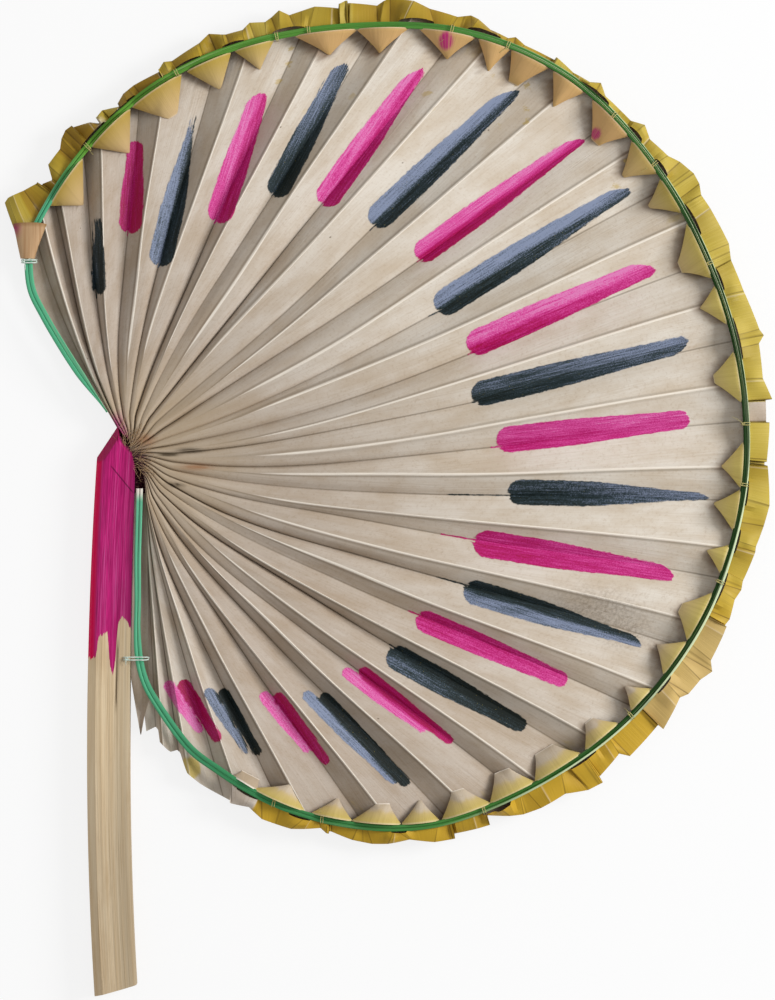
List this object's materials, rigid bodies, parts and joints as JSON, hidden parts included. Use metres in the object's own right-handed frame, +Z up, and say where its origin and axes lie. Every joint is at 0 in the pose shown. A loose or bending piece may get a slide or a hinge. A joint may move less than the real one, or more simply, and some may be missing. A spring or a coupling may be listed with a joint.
{
  "type": "palm leaf hand fan",
  "caption": "Rigid hand fan of pleated palm leaf on its own side stalk, the hemmed round edge held open by a tied hoop of green splits.",
  "frame": {"origin": "middle of the plan outline, on the surface that the fan lies on", "axes": "+Z up out of the painted face, +Y along the fan from the stalk's foot to the top of the blade, +X from the stalk to the blade's far rim"},
  "size_m": [0.3064, 0.4006, 0.0135],
  "materials": {
    "leaf": "dry, matt to satin leaf",
    "stalk": "fibrous, upper part dyed magenta",
    "hoop": "dyed green split, satin",
    "thread": "raw fibre"
  },
  "bodies": {
    "root": {"stalk": "stalk", "leaflet_01": "leaf", "leaflet_02": "leaf", "leaflet_03": "leaf", "leaflet_04": "leaf", "leaflet_05": "leaf", "leaflet_06": "leaf", "leaflet_07": "leaf", "leaflet_08": "leaf", "leaflet_09": "leaf", "leaflet_10": "leaf", "leaflet_11": "leaf", "leaflet_12": "leaf", "leaflet_13": "leaf", "leaflet_14": "leaf", "leaflet_15": "leaf", "leaflet_16": "leaf", "leaflet_17": "leaf", "leaflet_18": "leaf", "leaflet_19": "leaf", "leaflet_20": "leaf", "leaflet_21": "leaf", "leaflet_22": "leaf", "leaflet_23": "leaf", "leaflet_24": "leaf", "leaflet_25": "leaf", "leaflet_26": "leaf", "corner_cuff": "leaf", "hoop_split_outer": "hoop", "hoop_split_inner": "hoop", "hoop_split_back": "hoop", "rim_tie_01": "thread", "rim_tie_02": "thread", "rim_tie_03": "thread", "rim_tie_04": "thread", "rim_tie_05": "thread", "rim_tie_06": "thread", "rim_tie_07": "thread", "rim_tie_08": "thread", "rim_tie_09": "thread", "rim_tie_10": "thread", "rim_tie_11": "thread", "rim_tie_12": "thread", "rim_tie_13": "thread", "rim_tie_14": "thread", "rim_tie_15": "thread", "rim_tie_16": "thread", "corner_tie": "thread", "stalk_tie": "thread"}
  },
  "joints": []
}
